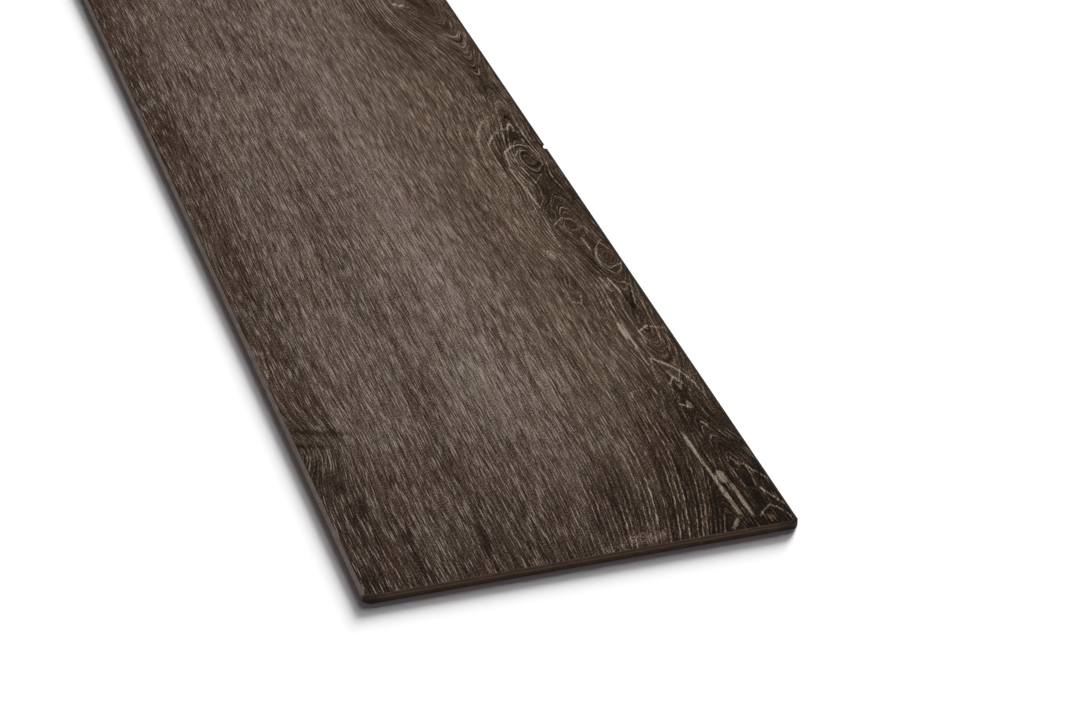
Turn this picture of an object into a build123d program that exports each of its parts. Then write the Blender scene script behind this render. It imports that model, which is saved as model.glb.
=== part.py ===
"""Vinyl floor plank: one hot-pressed sheet, punched to size, with a bevel all round its printed face.

The plank lies flat with its printed face up. X runs across its width, Y along its length and Z up,
and the origin is the middle of its underside. The near end is the one at -Y.
"""

import os
from math import radians, sin

from build123d import *

# Driving dimensions, in millimetres.
plank_length = 1219.2
plank_width = 177.8
plank_thickness = 3.0
corner_radius = 4.0  # of the outline, seen from above

# The bevel, cut lower than it is wide, and the small round where the printed face rolls into it.
bevel_width = 1.3
bevel_depth = 0.9
bevel_round = 0.5

# A nick in the long edge at +X, beside the knot in the print. It is a round bite that runs down through the
# sheet on a slant, towards the far end and out to the side, so it is deep at the face and shallow at the foot.
nick_from_near_end = 333.6  # to the middle of its mouth in the printed face
nick_inset = 0.75  # from the side in to that middle
nick_radius = 1.06
nick_dip = 27.5  # degrees below level
nick_turn = 17.4  # degrees outwards from the plank's length

nick_mouth = (plank_width / 2 - nick_inset, nick_from_near_end - plank_length / 2, plank_thickness)
nick_heading = Vector(0, 1, 0).rotate(Axis.X, -nick_dip).rotate(Axis.Z, -nick_turn)
nick_run = (plank_thickness + 2 * nick_radius) / sin(radians(nick_dip))  # past the foot of the sheet

with BuildPart() as plank:
    # The sheet as it is punched out, with eased corners and upright sides.
    with BuildSketch() as sheet_outline:
        RectangleRounded(plank_width, plank_length, corner_radius)
    extrude(amount=plank_thickness)

    # The bevel takes bevel_width off the printed face and bevel_depth off the sides.
    printed_face = plank.faces().sort_by(Axis.Z)[-1]
    chamfer(printed_face.edges(), length=bevel_width, length2=bevel_depth, reference=printed_face)
    rolled_edges = plank.faces().sort_by(Axis.Z)[-1].edges()
    fillet(rolled_edges, radius=bevel_round)

    # The nick is cut last, so that it goes through the bevel as well.
    with BuildSketch(Plane(origin=nick_mouth, z_dir=nick_heading)) as nick_outline:
        Circle(nick_radius)
    extrude(amount=nick_run, both=True, mode=Mode.SUBTRACT)

plank.part.label = "plank"

os.makedirs("parts", exist_ok=True)
export_step(plank.part, "parts/plank.step")
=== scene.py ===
"""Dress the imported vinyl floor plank: embossed oak print, painted bevel, sheet edge, underside and stage."""

import math

import bpy
import numpy as np
from bpy.props import FloatProperty, FloatVectorProperty, PointerProperty
from mathutils import Matrix, Vector


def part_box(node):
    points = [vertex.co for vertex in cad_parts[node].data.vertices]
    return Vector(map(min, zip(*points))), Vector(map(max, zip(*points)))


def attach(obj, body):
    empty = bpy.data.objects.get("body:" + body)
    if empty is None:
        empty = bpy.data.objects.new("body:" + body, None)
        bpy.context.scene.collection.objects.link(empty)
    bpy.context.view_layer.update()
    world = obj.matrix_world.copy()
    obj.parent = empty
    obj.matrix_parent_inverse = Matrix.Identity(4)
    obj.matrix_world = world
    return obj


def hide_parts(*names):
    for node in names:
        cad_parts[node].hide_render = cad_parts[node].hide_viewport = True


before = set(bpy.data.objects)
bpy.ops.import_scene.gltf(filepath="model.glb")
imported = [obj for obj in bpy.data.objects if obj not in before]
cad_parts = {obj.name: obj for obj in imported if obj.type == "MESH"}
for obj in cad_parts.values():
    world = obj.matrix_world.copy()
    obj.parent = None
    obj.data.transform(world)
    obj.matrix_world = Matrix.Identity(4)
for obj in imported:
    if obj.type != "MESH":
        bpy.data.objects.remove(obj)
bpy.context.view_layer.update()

bl_info = {
    "name": "Vinyl Floor Plank",
    "version": (1, 0, 0),
    "blender": (4, 5, 0),
    "location": "View3D > Sidebar > Plank",
    "description": "A vinyl floor plank with an embossed print of smoked and limed oak",
    "category": "Add Mesh",
}

PLANK_LOW, PLANK_HIGH = (np.array(corner) * 1000.0 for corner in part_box("plank"))
HALF_WIDTH = (PLANK_HIGH[0] - PLANK_LOW[0]) / 2
HALF_LENGTH = (PLANK_HIGH[1] - PLANK_LOW[1]) / 2
THICKNESS = PLANK_HIGH[2] - PLANK_LOW[2]
NEAR_END = -HALF_LENGTH
MM = 0.001
HEART_X = 79.0  # where the heart line runs, in millimetres across
STREAK_BANDS = ((-65.5, -59.5), (-36.5, -29.5))  # where thin dark streaks run, in millimetres across
PRINT_BANDS = 3  # how many bands round the grid still wear the print
FLAT_INSETS = (2.9, 2.1)  # loops of the flat print outside the grid, in millimetres in from the outline
SHARP_ANGLE = 40.0  # in degrees: edges that turn by more are shaded sharp

# Display brightness, of 255, at the stops of the print's colour ramp, and the share at its dark end.
UMBER_AT = 55.0
TAUPE_AT = 86.0
LIMED_AT = 160.0
SMOKED_SHARE = 0.06

# How much display brightness the growth rings' pale lines, their dark ground and the bare slivers add.
RING_LIFT = 124.0
GROUND_DROP = -15.0
SLIVER_LIFT = 96.0

# Colours that multiply a finish: the print's cool and warm patches and right side, long edges, ends.
COOL_TINT = (0.97, 1.0, 0.97, 1.0)
WARM_TINT = (1.03, 0.99, 1.0, 1.0)
OLIVE_TINT = (1.0, 0.99, 0.9, 1.0)
SIDE_TINT = (1.04, 1.13, 1.27, 1.0)
END_TINT = (1.08, 0.97, 0.82, 1.0)

# The camera fitted to the photograph: its place in metres, its turn to the right and down in degrees, and its
# sensor in millimetres.
CAMERA_PLACE = (-0.34275, -1.64889, 0.75181)
CAMERA_YAW = 17.328
CAMERA_PITCH = 31.0553
SENSOR_WIDTH = 36.0

# Soft lights on the plank: name, its level's property, size, place and target, in metres.
SOFT_LIGHTS = (
    ("softbox", "soft_level", (2.4, 2.8), (0.5, 0.2, 2.4), (0, -0.1, 0)),
    ("side_light", "side_level", (1.8, 0.4), (-1.5, -0.4, 0.35), (0, -0.3, 0)),
    ("front_light", "front_level", (1.6, 0.3), (-0.2, -2.4, 0.3), (0, -0.6, 0)),
)

# Suns on the floor alone: name, level, and spread in degrees. They share an azimuth and a tilt, in degrees.
SUNS = (("floor_sun", 10.3, 12.1), ("floor_haze", 4.6, 45.5))
SUN_AZIMUTH = 33.0
SUN_TILT = 12.2

WORLD_COLOUR = (1.0, 0.88, 0.96, 1.0)
WORLD_LEVEL = 0.065
FLOOR_REACH = 30.0  # in metres
FLOOR_DROP = 0.0001  # in metres, so that the floor and the underside never share a plane

# Knots in the print, in millimetres: across, along, reach across, reach along, and the growth that they hold.
KNOTS = (
    (76.5, -284.5, 9.0, 20.0, -13.0),
    (81.5, -291.0, 3.0, 4.5, -7.0),
    (70.0, -333.0, 3.2, 5.0, -7.0),
    (74.0, -353.0, 5.0, 9.0, -8.0),
    (84.5, -386.0, 7.0, 13.0, -14.0),
    (58.8, -408.0, 3.0, 11.0, -6.0),
    (65.0, -90.0, 13.0, 34.0, -28.0),
    (-94.0, -503.0, 13.0, 13.0, 24.0),
    (76.0, 148.0, 10.0, 22.0, -20.0),
    (-81.0, 330.0, 9.0, 18.0, 17.0),
)

# Soft dark and pale streaks in the print, in millimetres: across, along, half width, half length, then lean
# and brightness.
STREAKS = (
    (-33.5, -588.0, 1.4, 25.0, 0.07, -32.0),
    (-62.5, -583.0, 1.3, 28.0, -0.08, -30.0),
    (-75.0, -550.5, 3.0, 7.0, 0.0, -28.0),
    (-57.0, -533.0, 1.6, 4.5, 0.1, -34.0),
    (-78.0, -533.0, 1.9, 4.5, 0.1, -30.0),
    (-77.0, -489.5, 5.0, 5.5, -2.2, -32.0),
    (-83.0, -499.0, 4.0, 3.0, -2.0, -30.0),
    (-84.5, -519.0, 2.4, 9.0, 0.0, -16.0),
    (-31.5, -330.0, 2.2, 80.0, 0.0, -9.0),
    (-31.0, -516.0, 1.2, 50.0, 0.0, -26.0),
    (5.0, -360.0, 12.0, 130.0, 0.0, 6.0),
    (48.0, -125.0, 4.5, 36.0, -0.42, -12.0),
    (79.0, -178.0, 1.2, 40.0, 0.0, -14.0),
    (83.0, -312.0, 5.0, 22.0, 0.0, -14.0),
    (81.0, -549.0, 4.0, 9.0, 0.0, -10.0),
    (68.0, -506.0, 6.0, 25.0, 0.0, -12.0),
    (74.5, -261.5, 6.5, 6.0, 0.0, -16.0),
    (80.5, -275.0, 3.0, 7.0, 0.2, -12.0),
    (66.5, -277.0, 2.4, 16.0, 0.25, -10.0),
    (83.0, -258.0, 4.0, 12.0, -0.2, -8.0),
    (53.0, -421.0, 6.0, 12.0, 0.0, 8.0),
    (40.0, -552.0, 7.0, 24.0, 0.1, 14.0),
    (75.0, -320.0, 2.5, 11.0, -0.1, -18.0),
    (70.5, -341.0, 4.0, 3.0, 0.0, -16.0),
    (73.5, -392.0, 3.0, 9.0, 0.1, -16.0),
    (67.5, -247.0, 4.0, 9.0, 0.4, 8.0),
    (-52.0, -592.0, 9.0, 40.0, 0.0, 8.0),
    (20.0, 60.0, 3.0, 110.0, 0.02, -12.0),
    (-48.0, 190.0, 2.5, 120.0, -0.02, -12.0),
    (38.0, 400.0, 3.5, 130.0, 0.03, -12.0),
)

# Bare pale slivers and patches, in millimetres: across, along, half width, half length, then lean and
# strength up to 1.
SLIVERS = (
    (66.3, -547.0, 0.75, 14.0, -0.03, 0.9),
    (66.9, -567.0, 0.7, 12.0, -0.04, 0.8),
    (70.2, -570.0, 1.9, 5.0, 0.0, 1.0),
    (67.6, -586.0, 1.0, 14.0, -0.05, 1.0),
    (72.3, -587.0, 0.9, 14.0, -0.02, 1.0),
    (64.0, -603.5, 1.0, 4.0, 0.6, 1.0),
    (68.6, -449.0, 0.7, 8.0, 0.0, 0.9),
    (70.2, -456.0, 0.5, 14.0, 0.0, 0.85),
    (63.0, -104.0, 1.3, 4.0, -1.2, 0.9),
    (59.0, -376.0, 2.5, 6.0, 0.0, 0.4),
    (27.0, -602.5, 16.0, 5.0, 0.0, 0.36),
)

# Pale lines drawn in the heart, in millimetres: from (across, along) to (across, along), half width, then
# strength up to 1.
LINES = (
    (72.7, -474.0, 78.2, -481.6, 0.55, 0.8),
    (78.2, -481.6, 81.5, -488.0, 0.55, 0.75),
    (81.5, -488.0, 84.0, -499.0, 0.5, 0.7),
    (84.0, -499.0, 85.5, -517.0, 0.5, 0.55),
    (76.0, -472.0, 80.8, -481.6, 0.4, 0.55),
    (80.8, -481.6, 85.0, -492.0, 0.4, 0.5),
    (72.7, -474.0, 71.0, -484.0, 0.45, 0.6),
    (71.0, -484.0, 69.7, -495.0, 0.45, 0.5),
    (77.0, -491.0, 74.0, -496.5, 0.5, 0.7),
    (77.0, -491.0, 79.3, -497.5, 0.5, 0.7),
    (74.0, -496.5, 72.0, -508.0, 0.4, 0.5),
    (79.3, -497.5, 81.5, -510.0, 0.4, 0.45),
    (72.5, -513.0, 76.0, -516.5, 0.8, 0.7),
    (76.5, -528.0, 78.0, -532.0, 0.8, 0.65),
    (81.0, -537.0, 83.3, -544.0, 0.5, 0.5),
    (85.6, -551.0, 88.0, -558.0, 0.5, 0.5),
    (78.4, -557.5, 79.8, -563.5, 0.8, 0.6),
    (80.3, -561.0, 88.0, -577.6, 0.5, 0.75),
    (76.5, -565.0, 78.0, -567.5, 0.7, 0.5),
    (82.0, -582.0, 87.5, -596.0, 0.55, 0.8),
    (81.5, -594.7, 78.3, -597.5, 0.6, 0.8),
    (78.3, -597.5, 75.0, -601.5, 0.6, 0.7),
    (81.5, -594.7, 84.0, -597.5, 0.6, 0.8),
    (84.0, -597.5, 87.0, -605.0, 0.55, 0.75),
    (69.5, -464.0, 70.2, -479.0, 0.4, 0.6),
    (80.0, -448.0, 75.5, -451.5, 0.7, 0.7),
    (80.0, -448.0, 86.5, -452.0, 0.7, 0.65),
    (75.5, -451.5, 75.3, -462.0, 0.5, 0.6),
    (82.5, -455.0, 82.8, -471.0, 0.5, 0.5),
    (55.3, -503.0, 56.3, -498.0, 0.5, 0.5),
    (56.3, -498.0, 65.3, -496.8, 0.7, 0.4),
    (65.3, -496.8, 66.2, -503.0, 0.5, 0.5),
    (63.3, -266.0, 67.0, -258.4, 0.8, 0.6),
    (67.0, -258.4, 71.6, -253.8, 0.8, 0.6),
    (71.6, -253.8, 76.2, -252.5, 0.7, 0.5),
    (76.2, -252.5, 79.5, -256.4, 0.7, 0.6),
    (79.5, -256.4, 82.8, -261.7, 0.6, 0.5),
    (82.8, -261.7, 85.4, -268.3, 0.6, 0.5),
    (56.0, -288.0, 58.5, -268.0, 0.9, 0.36),
    (58.5, -268.0, 61.5, -253.0, 0.9, 0.42),
    (61.5, -253.0, 66.5, -243.5, 0.9, 0.48),
    (66.5, -243.5, 72.0, -236.5, 0.8, 0.5),
    (72.0, -236.5, 77.0, -240.0, 0.7, 0.48),
    (77.0, -240.0, 81.0, -248.5, 0.6, 0.46),
    (81.0, -248.5, 84.5, -260.0, 0.6, 0.44),
    (51.5, -285.0, 52.5, -262.0, 0.9, 0.34),
    (52.5, -262.0, 54.5, -242.0, 0.9, 0.38),
    (60.0, -218.0, 60.4, -194.0, 0.8, 0.4),
    (62.8, -267.0, 61.8, -300.0, 0.5, 0.5),
    (66.6, -290.0, 68.3, -275.5, 0.6, 0.6),
    (68.3, -275.5, 73.0, -271.0, 0.7, 0.65),
    (73.0, -271.0, 77.0, -270.0, 0.7, 0.65),
    (77.0, -270.0, 80.2, -273.5, 0.6, 0.6),
    (71.8, -281.0, 75.0, -275.5, 0.6, 0.55),
    (75.0, -275.5, 79.0, -277.5, 0.6, 0.55),
    (65.7, -292.0, 66.4, -306.0, 0.6, 0.75),
    (66.4, -306.0, 68.0, -333.0, 0.55, 0.65),
    (68.3, -297.0, 71.0, -312.0, 0.5, 0.6),
    (71.0, -312.0, 78.4, -301.5, 0.45, 0.45),
    (80.3, -318.0, 84.8, -330.0, 0.4, 0.45),
    (77.0, -322.0, 80.8, -335.0, 0.4, 0.45),
    (67.0, -336.0, 66.6, -353.0, 0.5, 0.6),
    (74.3, -344.6, 69.6, -350.0, 0.6, 0.6),
    (74.3, -344.6, 80.0, -350.0, 0.6, 0.55),
    (80.0, -350.0, 81.0, -362.0, 0.4, 0.45),
    (65.7, -354.0, 65.7, -371.0, 0.45, 0.6),
    (77.2, -365.0, 78.0, -376.0, 0.7, 0.55),
    (84.8, -369.6, 80.8, -375.5, 0.5, 0.55),
    (80.8, -375.5, 78.2, -384.0, 0.6, 0.65),
    (78.2, -384.0, 78.4, -389.5, 0.6, 0.65),
    (78.4, -389.5, 80.8, -395.5, 0.6, 0.6),
    (80.8, -395.5, 87.0, -392.5, 0.6, 0.6),
    (55.2, -404.5, 55.8, -419.0, 0.5, 0.5),
    (55.8, -419.0, 59.0, -421.5, 0.6, 0.55),
    (59.0, -421.5, 61.4, -413.5, 0.7, 0.5),
    (61.4, -413.5, 58.4, -404.0, 0.7, 0.45),
    (73.8, -402.0, 75.2, -415.0, 0.8, 0.6),
    (76.8, -404.0, 78.6, -417.0, 0.8, 0.6),
    (82.0, -408.0, 84.2, -412.0, 0.8, 0.5),
    (71.0, -421.0, 71.6, -432.0, 0.5, 0.55),
)


def soft_step(value, low, high):
    """Goes from 0 at low to 1 at high, with a level start and end: 3t squared less 2t cubed."""
    share = np.clip((value - low) / (high - low), 0.0, 1.0)
    return share * share * (3.0 - 2.0 * share)


def growth(x, y):
    """The print's growth coordinate, in millimetres: its level lines are the growth rings.

    Far from the heart it is the distance from the heart line, so the grain runs along the plank. Near the
    heart it is steeper, it is the hypotenuse of that distance and the heart's depth, and it rises and falls
    along the plank in a slow wave. Each knot adds its growth times an exponential that dies away over its
    reach. Towards the near end the lines between the heart and the middle bend outwards in a fan, as a square
    of the way along.
    """
    fan_bend, fan_start, fan_length = 14.0, 535.0, 72.0
    heart_reach, heart_depth_squared = 24.0, 50.0
    fan = fan_bend * (np.clip(-y - fan_start, 0.0, None) / fan_length) ** 2
    fan = fan * soft_step(x, -20.0, 64.0) * (1.0 - soft_step(x, 62.0, 70.0))
    drift = 0.9 * np.sin(y / 83.0 + x / 40.0) + 0.3 * np.sin(y / 29.0 + x / 23.0 + 1.3)
    near_heart = np.exp(-(((HEART_X - x) / heart_reach) ** 2))
    bends = 2.0 * np.sin(y / 37.0) + 1.0 * np.sin(y / 13.0 + 0.7)
    away = HEART_X - x - fan + bends * near_heart
    wave = 4.0 * np.sin(y / 45.0 + 0.4) + 2.0 * np.sin(y / 17.0)
    steeper = away + 9.0 * np.tanh(away / 18.0)
    rings = np.sqrt(steeper**2 + heart_depth_squared) + drift + wave * near_heart
    for knot_x, knot_y, reach_x, reach_y, amount in KNOTS:
        distance = np.sqrt(((x - knot_x) / reach_x) ** 2 + ((y - knot_y) / reach_y) ** 2 + 0.04)
        rings = rings + amount * np.exp(-distance)
    return rings


def steepness(x, y):
    """How fast the growth coordinate changes, in millimetres a millimetre: its gradient's length."""
    step = 0.3
    across = growth(x + step, y) - growth(x - step, y)
    along = growth(x, y + step) - growth(x, y - step)
    return np.hypot(across, along) / (2.0 * step)


def figure(x, y):
    """How strongly the growth rings show: 0 in the plain grain, up to 1 in the heart, the fan and the knots.

    It is the strongest of three masks of soft steps. The heart's is weaker at three places along the plank,
    the fan's begins later to the left and is weak in the near right corner, and each knot's is a disc.
    """
    heart = soft_step(x, 52.0, 70.0) * (1.0 - 0.6 * soft_step(y, -275.0, -235.0))
    heart = heart * (1.0 - 0.35 * soft_step(-y, 300.0, 330.0) - 0.25 * soft_step(-y, 425.0, 455.0))
    heart = heart * (1.0 - 0.7 * soft_step(-y, 520.0, 540.0))
    fan = soft_step(-y - 1.4 * np.clip(38.0 - x, 0.0, None), 505.0, 556.0) * soft_step(x, -2.0, 18.0)
    fan = fan * (1.0 - 0.85 * soft_step(x, 60.0, 66.0))
    shown = np.maximum(heart, fan)
    for knot_x, knot_y, reach_x, reach_y, amount in KNOTS:
        distance = np.sqrt(((x - knot_x) / reach_x) ** 2 + ((y - knot_y) / reach_y) ** 2)
        clear = 1.0 if amount < 0.0 else 0.35
        shown = np.maximum(shown, clear * (1.0 - soft_step(distance, 1.2, 2.4)))
    return shown


def spot(x, y, centre_x, centre_y, half_width, half_length, lean):
    """A soft oblong spot, 1 at its centre and sheared by its lean: a bell across, and a flatter one along.

    The bell across is an exponential of the square, and the one along is of the fourth power.
    """
    across = (x - centre_x - lean * (y - centre_y)) / half_width
    along = (y - centre_y) / half_length
    return np.exp(-(across**2)) * np.exp(-(along**4))


def brightness(x, y):
    """The face's broad display brightness, of 255: palest just right of the middle, darker at both sides.

    It is an even level with a bell over the pale middle, a fall to each side, and a fall towards the near
    end that grows from left to right. The near right falls further, its fan less so, and its very end most.
    The streaks are added, and a thin dark rim along the two long sides.
    """
    level = 81.0 + 10.0 * np.exp(-(((x - 5.0) / 16.0) ** 2))
    level = level - 25.0 * soft_step(-x, 52.0, 86.0) - 6.0 * soft_step(x, 20.0, 50.0)
    level = level - 8.0 * soft_step(x, 58.0, 86.0)
    level = level * (1.0 - (0.40 + 0.05 * x / HALF_WIDTH) * soft_step(-y, 470.0, 620.0))
    level = level - 23.0 * soft_step(x, 42.0, 62.0) * soft_step(-y, 450.0, 570.0)
    level = level - 5.0 * soft_step(x, 64.0, 74.0) * soft_step(-y, 430.0, 470.0)
    in_fan = soft_step(x, 2.0, 20.0) * (1.0 - soft_step(x, 56.0, 68.0))
    level = level + 13.0 * in_fan * soft_step(-y, 515.0, 555.0)
    level = level - 8.0 * soft_step(x, 20.0, 40.0) * soft_step(-y, 594.0, 606.0)
    for centre_x, centre_y, half_width, half_length, lean, amount in STREAKS:
        level = level + amount * spot(x, y, centre_x, centre_y, half_width, half_length, lean)
    return level - 24.0 * (1.0 - soft_step(HALF_WIDTH - np.abs(x), 1.3, 2.3))


def sliver_mask(x, y):
    """Where the bare pale slivers and the drawn lines are: the strongest of their spots and bells.

    Across a drawn line the bell takes the distance to the nearest point between its two ends.
    """
    shown = np.zeros_like(x)
    for *place, strength in SLIVERS:
        shown = np.maximum(shown, strength * spot(x, y, *place))
    for from_x, from_y, to_x, to_y, half_width, strength in LINES:
        run_x, run_y = to_x - from_x, to_y - from_y
        share = np.clip(((x - from_x) * run_x + (y - from_y) * run_y) / (run_x**2 + run_y**2), 0.0, 1.0)
        distance = np.hypot(x - from_x - share * run_x, y - from_y - share * run_y)
        shown = np.maximum(shown, strength * np.exp(-((distance / half_width) ** 2)))
    return shown


class PlankShape(bpy.types.PropertyGroup):
    """Sizes of the sheet's edges and relief."""

    corner_radius: FloatProperty(
        name="Corner Radius", description="Radius of the outline's corners", default=0.004, unit="LENGTH"
    )
    bevel_width: FloatProperty(
        name="Bevel Width", description="How far the bevel reaches in", default=0.0013, unit="LENGTH"
    )
    bevel_depth: FloatProperty(
        name="Bevel Depth", description="How far the bevel comes down", default=0.0009, unit="LENGTH"
    )
    bevel_round: FloatProperty(
        name="Bevel Round",
        description="Radius where the face rolls into the bevel",
        default=0.0005,
        unit="LENGTH",
    )
    nick_from_near_end: FloatProperty(
        name="Nick Place", description="From the near end to the nick's mouth", default=0.3336, unit="LENGTH"
    )
    nick_inset: FloatProperty(
        name="Nick Inset",
        description="From the side in to the mouth's middle",
        default=0.00075,
        unit="LENGTH",
    )
    nick_radius: FloatProperty(
        name="Nick Radius", description="Radius of the slanting bite", default=0.00106, unit="LENGTH"
    )
    nick_dip: FloatProperty(
        name="Nick Dip",
        description="Slant of the bite below level",
        default=math.radians(27.5),
        unit="ROTATION",
    )
    nick_turn: FloatProperty(
        name="Nick Turn",
        description="Turn of the bite out to the side",
        default=math.radians(17.4),
        unit="ROTATION",
    )
    emboss_depth: FloatProperty(
        name="Emboss Depth", description="Depth of the pressed grain", default=0.00007, unit="LENGTH"
    )


class PlankPrint(bpy.types.PropertyGroup):
    """Colours and pattern sizes of the oak print."""

    smoked: FloatVectorProperty(
        name="Smoked", description="Darkest growth", subtype="COLOR", size=3, default=(0.0075, 0.0038, 0.0018)
    )
    umber: FloatVectorProperty(
        name="Umber", description="Dark growth", subtype="COLOR", size=3, default=(0.0530, 0.0322, 0.0216)
    )
    taupe: FloatVectorProperty(
        name="Taupe", description="Common ground", subtype="COLOR", size=3, default=(0.1190, 0.0840, 0.0650)
    )
    limed: FloatVectorProperty(
        name="Limed", description="Limed pores", subtype="COLOR", size=3, default=(0.3610, 0.3020, 0.2570)
    )
    ring_spacing: FloatProperty(
        name="Ring Spacing", description="From one growth ring to the next", default=0.0024, unit="LENGTH"
    )


class PlankEdge(bpy.types.PropertyGroup):
    """Colours of the bevel, the sheet's edge and the underside."""

    bevel: FloatVectorProperty(
        name="Bevel Paint",
        description="Painted bevel",
        subtype="COLOR",
        size=3,
        default=(0.064, 0.047, 0.037),
    )
    sheet: FloatVectorProperty(
        name="Sheet",
        description="Cut side of the sheet",
        subtype="COLOR",
        size=3,
        default=(0.056, 0.037, 0.026),
    )
    underside: FloatVectorProperty(
        name="Underside",
        description="Back of the sheet",
        subtype="COLOR",
        size=3,
        default=(0.085, 0.078, 0.072),
    )


class PlankStage(bpy.types.PropertyGroup):
    """The floor's colour, the levels of the studio lights and the camera's lens."""

    floor: FloatVectorProperty(
        name="Floor", description="Floor colour", subtype="COLOR", size=3, default=(0.97, 0.97, 0.97)
    )
    floor_level: FloatProperty(
        name="Floor Level", description="Level of the two suns on the floor", default=1.0
    )
    soft_level: FloatProperty(
        name="Softbox", description="Overhead softbox on the plank", default=69.0, unit="POWER"
    )
    side_level: FloatProperty(
        name="Side Light", description="Low light from the left", default=7.0, unit="POWER"
    )
    front_level: FloatProperty(
        name="Front Light", description="Low light from the front", default=7.0, unit="POWER"
    )
    lens: FloatProperty(
        name="Lens", description="Focal length on a 36 mm sensor", default=0.114174, unit="LENGTH"
    )


def stops(*spans):
    """Joins even steps: each span is (from, to, step), and the last span's end is kept."""
    runs = [np.linspace(a, b, max(int(round((b - a) / step)), 1), endpoint=False) for a, b, step in spans]
    return np.concatenate(runs + [[spans[-1][1]]])


def bevel_profile(shape):
    """The section from the printed face over the bevel: inset from the outline, and height.

    The face is level up to the small round, an arc turned through the bevel's slope, and then the bevel
    falls straight to the outline.
    """
    width, depth, radius = shape.bevel_width / MM, shape.bevel_depth / MM, shape.bevel_round / MM
    slope = math.atan2(depth, width)
    start = width + radius * math.tan(slope / 2)
    turn = slope * np.linspace(0.0, 1.0, 5)
    inset = np.concatenate([FLAT_INSETS, start - radius * np.sin(turn), [width * 0.45, 0.0]])
    height = np.concatenate([[0.0, 0.0], radius * (np.cos(turn) - 1.0), [-depth * 0.55, -depth]])
    return inset, THICKNESS + height


def nick_reach(shape, y, z):
    """How far the nick has bitten in at each place along the edge and each height.

    The nick is a slanting round bore, so a level cut through it is an ellipse that moves along and outwards
    as it goes down. The reach is from the side to that ellipse's inner edge: the lesser root of the
    quadratic that the bore's radius gives for the place across.
    """
    sine, cosine, dip = math.sin(shape.nick_turn), math.cos(shape.nick_turn), math.sin(shape.nick_dip)
    advance = (THICKNESS - z) / math.tan(shape.nick_dip)
    along = y - (NEAR_END + shape.nick_from_near_end / MM) - advance * cosine
    square = (sine * dip) ** 2 + cosine**2
    half_slope = along * sine * cosine * (dip**2 - 1.0)
    rest = along**2 * ((cosine * dip) ** 2 + sine**2) - (shape.nick_radius / MM) ** 2
    root = half_slope**2 - square * rest
    across = (-half_slope - np.sqrt(np.clip(root, 0.0, None))) / square
    reach = shape.nick_inset / MM - advance * sine - across
    return np.where(root > 0.0, np.clip(reach, 0.0, None), 0.0)


def emboss(shape, x, y, spacing):
    """The pressed relief's height on the face, zero or below: a groove in each growth ring and waves between.

    The groove is a cosine to the third power, deeper where the figure shows. The waves are long shallow sines
    of the growth coordinate and of the place along the plank.
    """
    rings = growth(x, y)
    groove = (0.5 + 0.5 * np.cos(2 * np.pi * rings / spacing)) ** 3
    fibre = 0.5 + 0.25 * np.sin(rings * 0.9 + 2.0 * np.sin(y / 61.0)) + 0.25 * np.sin(rings * 0.53 + y / 47.0)
    return -(shape.emboss_depth / MM) * ((0.25 + 0.75 * figure(x, y)) * groove + 0.5 * fibre)


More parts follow.
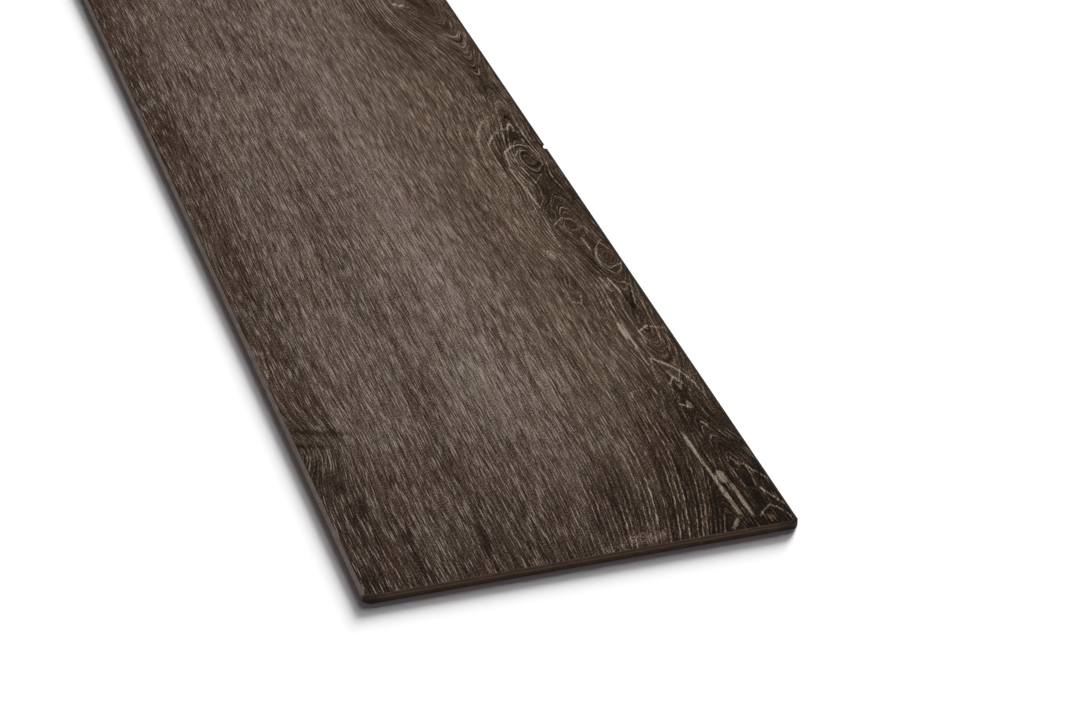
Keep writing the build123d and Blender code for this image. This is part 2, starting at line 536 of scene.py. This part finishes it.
def sheet_mesh(shape, spacing):
    """The plank as one closed surface: vertices in millimetres, and the faces of print, edge and underside.

    The middle of the face is a grid whose height is the relief. Round it the section of bevel_profile is
    carried along the outline: each loop point is a border point of the grid moved out along its normal by
    the corner radius less the inset, so the corners are arcs. The nick holds the outline back. The side
    goes straight down to the foot, and the underside is strips from foot to foot. The grid is finest at the
    nick, in the heart and where thin streaks run, and coarsest where the print is plain.
    """
    radius = shape.corner_radius / MM
    side, end = HALF_WIDTH - radius, HALF_LENGTH - radius
    before_nick, nick_span, heart_start = 2.4, 10.5, 44.0
    nick_start = NEAR_END + shape.nick_from_near_end / MM - before_nick
    nick_end = nick_start + nick_span
    plain_step, streak_step, heart_step = 2.3, 0.75, 0.65
    (left_start, left_end), (right_start, right_end) = STREAK_BANDS
    columns = stops(
        (-side, left_start, plain_step),
        (left_start, left_end, streak_step),
        (left_end, right_start, plain_step),
        (right_start, right_end, streak_step),
        (right_end, heart_start, plain_step),
        (heart_start, side, heart_step),
    )
    near_step, nick_step, middle_step, far_step = 1.1, 0.3, 2.5, 4.0
    rows = stops(
        (-end, nick_start, near_step),
        (nick_start, nick_end, nick_step),
        (nick_end, 0.0, middle_step),
        (0.0, end, far_step),
    )
    n_columns, n_rows = len(columns), len(rows)
    grid_x, grid_y = np.meshgrid(columns, rows)
    grid_z = THICKNESS + emboss(shape, grid_x, grid_y, spacing)
    grid = np.stack([grid_x.ravel(), grid_y.ravel(), grid_z.ravel()], axis=1)
    index = np.arange(n_rows * n_columns).reshape(n_rows, n_columns)

    # The loop runs anticlockwise from above: near end, right side, far end, left side, with arcs between.
    quarter = np.radians(np.linspace(0.0, 90.0, 9)[1:-1])
    borders = (index[0], index[:, -1], index[-1, ::-1], index[::-1, 0])
    base, angle = [], []
    for turn, border in enumerate(borders):
        facing = np.radians(90.0 * turn - 90.0)
        base += [border, np.full(len(quarter), border[-1])]
        angle += [np.full(len(border), facing), facing + quarter]
    base, angle = np.concatenate(base), np.concatenate(angle)
    normal = np.stack([np.cos(angle), np.sin(angle)], axis=1)
    n_loop = len(base)
    on_right = np.cos(angle) > 0.999

    inset, height = bevel_profile(shape)
    inset = np.concatenate([inset, [0.0, 0.0, 0.0]])
    height = np.concatenate([height, [height[-1] * 0.67, height[-1] * 0.33, 0.0]])
    bite = np.where(on_right, nick_reach(shape, grid[base, 1], height[:, None]), 0.0)
    held = np.maximum(inset[:, None], bite)
    reach = radius - held
    ring_x = grid[base, 0] + reach * normal[:, 0]
    ring_y = grid[base, 1] + reach * normal[:, 1]
    ring_z = np.repeat(height[:, None], n_loop, axis=1)
    level = soft_step(inset, 1.6, FLAT_INSETS[0])[:, None]
    ring_z = ring_z + level * emboss(shape, ring_x, ring_y, spacing)
    rings = np.stack([ring_x.ravel(), ring_y.ravel(), ring_z.ravel()], axis=1)
    ring_index = len(grid) + np.arange(len(inset) * n_loop).reshape(len(inset), n_loop)
    loops = np.vstack([base, ring_index])

    cells = (index[:-1, :-1], index[:-1, 1:], index[1:, 1:], index[1:, :-1])
    face_quads = np.stack(cells, axis=-1).reshape(-1, 4)
    after = np.roll(loops, -1, axis=1)
    bands = np.stack([loops[:-1], loops[1:], after[1:], after[:-1]], axis=-1)
    first = bands[0]
    fans = first[:, 0] == first[:, 3]
    printed = face_quads.tolist() + first[~fans].tolist() + first[fans][:, :3].tolist()
    printed += bands[1:PRINT_BANDS].reshape(-1, 4).tolist()
    edge = bands[PRINT_BANDS:].reshape(-1, 4).tolist()

    foot = loops[-1]
    spans = np.cumsum([0] + [len(border) + len(quarter) for border in borders])
    right_foot = foot[spans[1]:spans[1] + n_rows]
    left_foot = foot[spans[3]:spans[3] + n_rows][::-1]
    strips = np.stack([left_foot[:-1], left_foot[1:], right_foot[1:], right_foot[:-1]], axis=1).tolist()
    near_cap = np.concatenate([foot[spans[3] + n_rows - 1:], foot[:spans[1] + 1]])[::-1].tolist()
    far_cap = foot[spans[1] + n_rows - 1:spans[3] + 1][::-1].tolist()
    under = strips + [near_cap, far_cap]
    vertices = np.vstack([grid, rings])
    return vertices, (printed, edge, under)


class Net:
    """Adds nodes to a tree. An input given as a socket is linked, and any other value is set on it."""

    def __init__(self, tree):
        self.tree = tree

    def node(self, kind, settings=None, inputs=None):
        made = self.tree.nodes.new(kind)
        for name, value in (settings or {}).items():
            setattr(made, name, value)
        for name, value in (inputs or {}).items():
            self.put(made.inputs[name], value)
        return made

    def put(self, socket, value):
        if isinstance(value, bpy.types.NodeSocket):
            self.tree.links.new(value, socket)
        else:
            socket.default_value = value

    def math(self, operation, first, second=0.0, third=0.0):
        made = self.node("ShaderNodeMath", {"operation": operation})
        for socket, value in zip(made.inputs, (first, second, third)):
            self.put(socket, value)
        return made.outputs[0]

    def vector(self, x, y, z=0.0):
        return self.node("ShaderNodeCombineXYZ", None, {"X": x, "Y": y, "Z": z}).outputs[0]

    def remap(self, value, low, high, to_low=0.0, to_high=1.0):
        made = self.node("ShaderNodeMapRange", {"interpolation_type": "SMOOTHSTEP"})
        for socket, number in zip(made.inputs, (value, low, high, to_low, to_high)):
            self.put(socket, number)
        return made.outputs[0]

    def noise(self, vector, scale=1.0, detail=3.0, roughness=0.55):
        settings = {"noise_dimensions": "2D"}
        inputs = {"Vector": vector, "Scale": scale, "Detail": detail, "Roughness": roughness}
        return self.node("ShaderNodeTexNoise", settings, inputs).outputs[0]

    def blend(self, share, first, second):
        inputs = {"Factor": share, "A": first, "B": second}
        return self.node("ShaderNodeMix", {"data_type": "RGBA"}, inputs).outputs["Result"]

    def group(self, group, **inputs):
        made = self.node("ShaderNodeGroup", {"node_tree": group})
        for name, value in inputs.items():
            self.put(made.inputs[name.replace("_", " ").title()], value)
        return made


def new_group(name, inputs, outputs):
    """A shader node group with float sockets, and its input and output nodes."""
    tree = bpy.data.node_groups.new(name, "ShaderNodeTree")
    for socket, default in inputs.items():
        made = tree.interface.new_socket(socket, in_out="INPUT", socket_type="NodeSocketFloat")
        made.default_value = default
    for socket in outputs:
        tree.interface.new_socket(socket, in_out="OUTPUT", socket_type="NodeSocketFloat")
    net = Net(tree)
    return tree, net, net.node("NodeGroupInput").outputs, net.node("NodeGroupOutput").inputs


def strokes_group():
    """Short strokes along the grain: a stretched cell pattern with one stroke a cell, and some cells bare."""
    inputs = {"Across": 0.0, "Along": 0.0, "Width": 1.0, "Length": 10.0, "Share": 0.5, "Seed": 0.0}
    tree, net, given, result = new_group("grain_strokes", inputs, ("Mask",))
    shifted = net.math("MULTIPLY_ADD", given["Seed"], 37.31, given["Along"])
    sway_place = (net.math("MULTIPLY", given["Across"], 0.3), net.math("MULTIPLY", shifted, 0.07))
    sway = net.math("SUBTRACT", net.noise(net.vector(*sway_place)), 0.5)
    across = net.math("DIVIDE", net.math("MULTIPLY_ADD", sway, 0.45, given["Across"]), given["Width"])
    place = net.vector(across, net.math("DIVIDE", shifted, given["Length"]))
    cells = net.node("ShaderNodeTexVoronoi", {"voronoi_dimensions": "2D"}, {"Vector": place, "Scale": 1.0})
    body = net.remap(cells.outputs["Distance"], 0.3, 0.13)
    chance = net.node("ShaderNodeSeparateColor", None, {"Color": cells.outputs["Color"]})
    bare = net.math("SUBTRACT", 1.0, given["Share"])
    shown = net.remap(chance.outputs[0], bare, 1.0, 0.35, 1.0)
    present = net.math("GREATER_THAN", chance.outputs[0], bare)
    net.put(result["Mask"], net.math("MULTIPLY", body, net.math("MULTIPLY", shown, present)))
    return tree


def mottle_group():
    """Cloudy mottle of the pressed vinyl: two sizes of noise over X and Y in millimetres, about zero."""
    tree, net, given, result = new_group("vinyl_mottle", {"X": 0.0, "Y": 0.0, "Size": 10.0}, ("Mottle",))
    place = net.vector(*(net.math("DIVIDE", given[axis], given["Size"]) for axis in "XY"))
    coarse = net.math("SUBTRACT", net.noise(place, 1.0, 3.0), 0.5)
    fine = net.math("SUBTRACT", net.noise(place, 7.0, 2.0), 0.5)
    net.put(result["Mottle"], net.math("MULTIPLY_ADD", fine, 0.5, coarse))
    return tree


def new_material(name):
    """A material with only a Principled shader, its net, and the shader node."""
    material = bpy.data.materials.new(name)
    material.use_nodes = True
    material.node_tree.nodes.clear()
    net = Net(material.node_tree)
    shader = net.node("ShaderNodeBsdfPrincipled")
    net.node("ShaderNodeOutputMaterial", None, {"Surface": shader.outputs[0]})
    return material, net, shader


def object_mm(net):
    """Object coordinates in millimetres, as separate X, Y and Z sockets."""
    place = net.node("ShaderNodeTexCoord").outputs["Object"]
    scaled = net.node("ShaderNodeVectorMath", {"operation": "SCALE"}, {"Vector": place, "Scale": 1.0 / MM})
    return net.node("ShaderNodeSeparateXYZ", None, {"Vector": scaled.outputs[0]}).outputs


def print_material(colours, strokes, mottle):
    """The oak print: a display brightness is summed from tone, fibre, pores and rings, and a ramp colours it.

    The grain attribute holds the growth coordinate, its steepness and how far the rings show. The tone
    attribute holds the broad brightness, the slivers' mask and how olive the right side is.
    """
    material, net, shader = new_material("oak_print")
    grain = net.node("ShaderNodeAttribute", {"attribute_name": "grain"})
    rings, steep, shown = net.node("ShaderNodeSeparateXYZ", None, {"Vector": grain.outputs["Vector"]}).outputs
    tone = net.node("ShaderNodeAttribute", {"attribute_name": "tone"})
    total, bare, right = net.node("ShaderNodeSeparateXYZ", None, {"Vector": tone.outputs["Vector"]}).outputs
    x, y, _ = object_mm(net)

    def streaky(across, across_scale, along_scale, detail):
        place = net.vector(net.math("MULTIPLY", across, across_scale), net.math("MULTIPLY", y, along_scale))
        return net.math("SUBTRACT", net.noise(place, 1.0, detail, 0.6), 0.5)

    def fibre(*scales_and_detail):
        return streaky(rings, *scales_and_detail)

    def speckle(*scales_and_detail):
        return streaky(x, *scales_and_detail)

    def pores(width, length, share, seed):
        made = net.group(strokes, across=rings, along=y, width=width, length=length, share=share, seed=seed)
        return made.outputs[0]

    cloud = net.group(mottle, x=x, y=y, size=34.0).outputs[0]
    patch = net.remap(cloud, -0.2, 0.2, 0.7, 1.2)
    fine_pores = net.math("MULTIPLY", pores(0.62, 17.0, 0.75, 1.0), patch)
    long_pores = pores(1.0, 32.0, 0.45, 2.0)
    checks = pores(1.1, 40.0, 0.45, 3.0)
    fine_checks = pores(0.62, 23.0, 0.6, 4.0)
    combed = net.remap(fibre(1.7, 0.022, 2.0), -0.1, 0.1, -0.5, 0.5)
    plain = net.math("SUBTRACT", 1.0, net.math("MULTIPLY", shown, 0.35))
    # Each layer and how much display brightness it adds: fibre, speckle, mottle, pale pores and dark checks.
    layers = (
        (fibre(0.1, 0.0035, 2.0), 18.0),
        (fibre(0.24, 0.004, 1.0), 30.0),
        (fibre(0.4, 0.006, 2.0), 31.0),
        (net.math("MULTIPLY", combed, plain), 31.0),
        (speckle(1.4, 0.95, 1.0), 120.0),
        (speckle(0.45, 0.4, 2.0), 18.0),
        (cloud, 12.0),
        (net.math("MULTIPLY", fine_pores, plain), 100.0),
        (net.math("MULTIPLY", long_pores, plain), 25.0),
        (checks, -17.0),
        (fine_checks, -76.0),
    )
    for value, amount in layers:
        total = net.math("MULTIPLY_ADD", value, amount, total)

    # Growth rings: in each a thin pale line of limed pores, of even width and broken into dashes. Pale and
    # dark bands run through them.
    spacing = colours.ring_spacing / MM
    jag = speckle(0.42, 0.19, 3.0)
    phase = net.math("MULTIPLY_ADD", jag, 0.6, net.math("DIVIDE", rings, spacing))
    off_line = net.math("ABSOLUTE", net.math("SUBTRACT", net.math("FRACT", phase), 0.5))
    distance = net.math("DIVIDE", net.math("MULTIPLY", off_line, spacing), net.math("MAXIMUM", steep, 0.3))
    chance = net.node("ShaderNodeTexWhiteNoise", {"noise_dimensions": "1D"}, {"W": net.math("FLOOR", phase)})
    strength = net.remap(chance.outputs["Value"], 0.0, 1.0, 0.4, 1.0)
    dashes = net.remap(speckle(0.8, 0.16, 2.0), -0.12, 0.08, 0.3, 1.0)
    line = net.math("MULTIPLY", net.remap(distance, 0.46, 0.12), strength)
    line = net.math("MULTIPLY", line, dashes)
    pale_band = net.remap(fibre(0.14, 0.01, 2.0), -0.1, 0.08, 0.45, 1.0)
    line = net.math("MULTIPLY", line, pale_band)
    total = net.math("MULTIPLY_ADD", net.math("MULTIPLY", shown, line), RING_LIFT, total)
    ground = net.math("MULTIPLY", shown, net.math("SUBTRACT", 2.4, pale_band))
    total = net.math("MULTIPLY_ADD", ground, GROUND_DROP, total)
    ragged = net.math("SUBTRACT", net.noise(net.vector(x, net.math("MULTIPLY", y, 0.6)), 0.9, 3.0), 0.5)
    sliver = net.remap(net.math("MULTIPLY_ADD", ragged, 0.6, bare), 0.14, 0.66)
    total = net.math("MULTIPLY_ADD", sliver, SLIVER_LIFT, total)

    ramp = net.node("ShaderNodeValToRGB", None, {"Fac": net.math("DIVIDE", total, LIMED_AT)})
    places = (SMOKED_SHARE, UMBER_AT / LIMED_AT, TAUPE_AT / LIMED_AT, 1.0)
    ramp_colours = (colours.smoked, colours.umber, colours.taupe, colours.limed)
    elements = ramp.color_ramp.elements
    elements.new(places[1])
    elements.new(places[2])
    for element, place, colour in zip(elements, places, ramp_colours):
        element.position = place
        element.color = (*colour, 1.0)
    hue = net.group(mottle, x=x, y=net.math("MULTIPLY", y, 0.35), size=13.0).outputs[0]
    warm = net.blend(net.remap(hue, -0.2, 0.2), COOL_TINT, WARM_TINT)
    multiply = {"data_type": "RGBA", "blend_type": "MULTIPLY"}
    tint = net.node("ShaderNodeMix", multiply, {"Factor": 1.0, "A": ramp.outputs[0], "B": warm})
    tinted = tint.outputs["Result"]
    olive = net.node("ShaderNodeMix", multiply, {"Factor": right, "A": tinted, "B": OLIVE_TINT})
    net.put(shader.inputs["Base Color"], olive.outputs["Result"])

    hollow = net.math("MAXIMUM", fine_pores, long_pores)
    net.put(shader.inputs["Roughness"], net.remap(hollow, 0.0, 1.0, 0.52, 0.72))
    relief = net.math("MULTIPLY_ADD", hollow, -0.07, net.math("MULTIPLY", fibre(2.4, 0.05, 3.0), 0.05))
    relief = net.math("MULTIPLY_ADD", checks, -0.05, relief)
    bump = net.node("ShaderNodeBump", None, {"Strength": 0.6, "Distance": MM, "Height": relief})
    net.put(shader.inputs["Normal"], bump.outputs[0])
    shader.inputs["Specular IOR Level"].default_value = 0.04
    return material


def edge_material(colours, strokes, mottle):
    """The painted bevel and the cut side below it.

    The height tells them apart. At the ends the pale strip is lower and browner, under a dark rolled line,
    and painted shade darkens the corners. Along the sides the paint is greyer; it blends up from the cut
    sheet near the foot, partly the two colours and partly painted shade towards the floor, and it is paler
    on the left and darker on the right, painted light and shade as if lit from the left.
    """
    material, net, shader = new_material("sheet_edge")
    x, y, z = object_mm(net)
    run = net.math("ADD", x, y)
    cloud = net.group(mottle, x=run, y=net.math("MULTIPLY", z, 4.0), size=6.0).outputs[0]
    seam = net.math("MULTIPLY_ADD", cloud, 0.5, z)
    end_zone = (HALF_LENGTH - 4.0, HALF_LENGTH - 1.6)
    corner_shade_zone = (HALF_WIDTH - 11.0, HALF_WIDTH - 4.0)
    on_end = net.remap(net.math("ABSOLUTE", y), *end_zone)
    end_strip = net.math("MULTIPLY", net.remap(seam, 0.6, 1.7), net.remap(seam, 2.6, 2.1))
    rolled = net.math("MULTIPLY", net.remap(seam, 2.2, 2.4), net.remap(seam, 2.95, 2.65))
    rolled = net.math("MULTIPLY", rolled, on_end)
    # Along the long sides the cut sheet's colour blends up into the bevel paint from near the foot. This is
    # partly the two colours and partly painted shade that darkens the side towards the floor.
    side_strip_and_foot_shade = net.remap(seam, 0.4, 2.2)
    paint = net.node("ShaderNodeMix", None, {"Factor": on_end, "A": side_strip_and_foot_shade, "B": end_strip}).outputs[0]
    # Painted shade: at the ends the edge darkens towards both corners, down to half at the corners.
    corner = net.math("MULTIPLY", on_end, net.remap(net.math("ABSOLUTE", x), *corner_shade_zone))
    # Painted light and shade: along the long sides the edge is brighter on the left and darker on the right,
    # as if lit from the left.
    across = net.remap(x, -30.0, 30.0, 1.75, 0.3)
    painted_side_light = net.node("ShaderNodeMix", None, {"Factor": on_end, "A": across, "B": 1.0}).outputs[0]
    rubs = net.group(strokes, across=z, along=run, width=0.35, length=9.0, share=0.4, seed=5.0).outputs[0]
    both = net.blend(paint, (*colours.sheet, 1.0), (*colours.bevel, 1.0))
    level = net.math("MULTIPLY_ADD", cloud, 0.9, 1.0)
    level = net.math("MULTIPLY_ADD", rubs, 0.35, level)
    level = net.math("MULTIPLY", level, net.math("MULTIPLY_ADD", corner, -0.5, painted_side_light))
    level = net.math("MULTIPLY", level, net.math("MULTIPLY_ADD", rolled, -0.42, 1.0))
    tint = net.blend(on_end, SIDE_TINT, END_TINT)
    hue = net.node("ShaderNodeVectorMath", {"operation": "MULTIPLY"}, {0: both, 1: tint})
    shade = net.node("ShaderNodeVectorMath", {"operation": "SCALE"}, {0: hue.outputs[0], "Scale": level})
    net.put(shader.inputs["Base Color"], shade.outputs[0])
    net.put(shader.inputs["Roughness"], net.remap(cloud, -0.4, 0.4, 0.5, 0.7))
    bump = net.node("ShaderNodeBump", None, {"Strength": 0.4, "Distance": 0.05 * MM, "Height": cloud})
    net.put(shader.inputs["Normal"], bump.outputs[0])
    shader.inputs["Specular IOR Level"].default_value = 0.1
    return material


def underside_material(colours, mottle):
    """The plain back of the sheet: dull vinyl with a fine pressed cross-hatch and a little mottle."""
    material, net, shader = new_material("sheet_underside")
    x, y, _ = object_mm(net)
    cloud = net.group(mottle, x=x, y=y, size=28.0).outputs[0]
    rib_spacing = 1.1
    ribs = [net.math("SINE", net.math("MULTIPLY", side, 2.0 * math.pi / rib_spacing)) for side in (x, y)]
    weave = net.math("MULTIPLY", ribs[0], ribs[1])
    level = net.math("MULTIPLY_ADD", cloud, 0.5, net.math("MULTIPLY_ADD", weave, 0.07, 1.0))
    shade = net.node("ShaderNodeVectorMath", {"operation": "SCALE"}, {"Scale": level})
    shade.inputs[0].default_value = colours.underside
    net.put(shader.inputs["Base Color"], shade.outputs[0])
    net.put(shader.inputs["Roughness"], net.remap(cloud, -0.4, 0.4, 0.62, 0.8))
    bump = net.node("ShaderNodeBump", None, {"Strength": 0.5, "Distance": 0.06 * MM, "Height": weave})
    net.put(shader.inputs["Normal"], bump.outputs[0])
    shader.inputs["Specular IOR Level"].default_value = 0.3
    return material


def add_vectors(mesh, name, columns):
    """Stores three numbers on each vertex under one name."""
    layer = mesh.attributes.new(name, "FLOAT_VECTOR", "POINT")
    layer.data.foreach_set("vector", np.stack(columns, axis=1).astype(np.float32).ravel())


class PLANK_OT_sheet(bpy.types.Operator):
    """Build the embossed plank, with its print, edge and underside, in place of the plain solid"""

    bl_idname = "plank.sheet"
    bl_label = "Embossed Plank"

    def execute(self, context):
        scene = context.scene
        vertices, groups = sheet_mesh(scene.plank_shape, scene.plank_print.ring_spacing / MM)
        mesh = bpy.data.meshes.new("embossed_plank")
        mesh.from_pydata(vertices * MM, [], [face for group in groups for face in group])
        if mesh.validate():
            raise RuntimeError("the plank's surface has faces that Blender refuses")
        x, y = vertices[:, 0], vertices[:, 1]
        add_vectors(mesh, "grain", (growth(x, y), steepness(x, y), figure(x, y)))
        olive_share = soft_step(x, 8.0, 50.0)
        add_vectors(mesh, "tone", (brightness(x, y), sliver_mask(x, y), olive_share))
        strokes, mottle = strokes_group(), mottle_group()
        mesh.materials.append(print_material(scene.plank_print, strokes, mottle))
        mesh.materials.append(edge_material(scene.plank_edge, strokes, mottle))
        mesh.materials.append(underside_material(scene.plank_edge, mottle))
        worn = np.repeat(np.arange(len(groups)), [len(group) for group in groups]).astype(np.int32)
        underside = len(groups) - 1
        mesh.polygons.foreach_set("material_index", worn)
        mesh.polygons.foreach_set("use_smooth", worn < underside)
        mesh.set_sharp_from_angle(angle=math.radians(SHARP_ANGLE))
        plank = bpy.data.objects.new("embossed_plank", mesh)
        scene.collection.objects.link(plank)
        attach(plank, "root")
        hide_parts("plank")
        return {"FINISHED"}


def aimed(name, light, place, target, receivers):
    """Adds a light at a place, turned to a target, that lights only the objects given."""
    lamp = bpy.data.objects.new(name, light)
    bpy.context.scene.collection.objects.link(lamp)
    direction = Vector(target) - Vector(place)
    lamp.matrix_world = Matrix.Translation(place) @ direction.to_track_quat("-Z", "Y").to_matrix().to_4x4()
    lamp.visible_camera = False
    lit = bpy.data.collections.new(name + "_lit")
    for receiver in receivers:
        lit.objects.link(receiver)
    lamp.light_linking.receiver_collection = lit


class PLANK_OT_stage(bpy.types.Operator):
    """Add the white floor, the lights and the camera"""

    bl_idname = "plank.stage"
    bl_label = "Studio Stage"

    def execute(self, context):
        scene = context.scene
        levels = scene.plank_stage
        scene.view_settings.view_transform = "Standard"

        corners = np.array([(-1, -1, 0), (1, -1, 0), (1, 1, 0), (-1, 1, 0)]) * FLOOR_REACH
        mesh = bpy.data.meshes.new("floor")
        mesh.from_pydata(corners - (0, 0, FLOOR_DROP), [], [(0, 1, 2, 3)])
        material, _, shader = new_material("white_floor")
        shader.inputs["Base Color"].default_value = (*levels.floor, 1.0)
        shader.inputs["Roughness"].default_value = 1.0
        shader.inputs["Specular IOR Level"].default_value = 0.0
        mesh.materials.append(material)
        floor = bpy.data.objects.new("floor", mesh)
        scene.collection.objects.link(floor)

        world = bpy.data.worlds.new("studio")
        world.use_nodes = True
        background = world.node_tree.nodes["Background"]
        background.inputs["Color"].default_value = WORLD_COLOUR
        background.inputs["Strength"].default_value = WORLD_LEVEL
        scene.world = world

        azimuth, tilt = math.radians(SUN_AZIMUTH), math.radians(SUN_TILT)
        towards = (-math.sin(azimuth), -math.cos(azimuth), 1 - math.tan(tilt))
        for name, level, spread in SUNS:
            sun = bpy.data.lights.new(name, "SUN")
            sun.energy = level * levels.floor_level
            sun.angle = math.radians(spread)
            aimed(name, sun, (0, 0, 1), towards, [floor])

        plank = bpy.data.objects["embossed_plank"]
        for name, level_name, size, place, target in SOFT_LIGHTS:
            light = bpy.data.lights.new(name, "AREA")
            light.shape = "RECTANGLE"
            light.size, light.size_y = size
            light.energy = getattr(levels, level_name)
            aimed(name, light, place, target, [plank])

        lens = bpy.data.cameras.new("camera")
        lens.sensor_width = SENSOR_WIDTH
        lens.lens = levels.lens / MM
        camera = bpy.data.objects.new("camera", lens)
        scene.collection.objects.link(camera)
        yaw, pitch = math.radians(CAMERA_YAW), math.radians(CAMERA_PITCH)
        level_way = math.cos(pitch)
        forward = Vector((math.sin(yaw) * level_way, math.cos(yaw) * level_way, -math.sin(pitch)))
        turn = forward.to_track_quat("-Z", "Y").to_matrix().to_4x4()
        camera.matrix_world = Matrix.Translation(CAMERA_PLACE) @ turn
        scene.camera = camera
        return {"FINISHED"}


class PLANK_PT_panel(bpy.types.Panel):
    """Lists the plank's sizes, colours and builders"""

    bl_idname = "PLANK_PT_panel"
    bl_label = "Vinyl Floor Plank"
    bl_space_type = "VIEW_3D"
    bl_region_type = "UI"
    bl_category = "Plank"

    def draw(self, context):
        scene = context.scene
        for settings in (scene.plank_shape, scene.plank_print, scene.plank_edge):
            for name in settings.__annotations__:
                self.layout.prop(settings, name)
        self.layout.operator(PLANK_OT_sheet.bl_idname)
        for name in scene.plank_stage.__annotations__:
            self.layout.prop(scene.plank_stage, name)
        self.layout.operator(PLANK_OT_stage.bl_idname)


GROUPS = {
    "plank_shape": PlankShape,
    "plank_print": PlankPrint,
    "plank_edge": PlankEdge,
    "plank_stage": PlankStage,
}
CLASSES = (*GROUPS.values(), PLANK_OT_sheet, PLANK_OT_stage, PLANK_PT_panel)


def register():
    for made in CLASSES:
        bpy.utils.register_class(made)
    for name, group in GROUPS.items():
        setattr(bpy.types.Scene, name, PointerProperty(type=group))


def unregister():
    for name in GROUPS:
        delattr(bpy.types.Scene, name)
    for made in reversed(CLASSES):
        bpy.utils.unregister_class(made)


def main():
    register()
    bpy.ops.plank.sheet()
    bpy.ops.plank.stage()


if __name__ == "__main__":
    main()
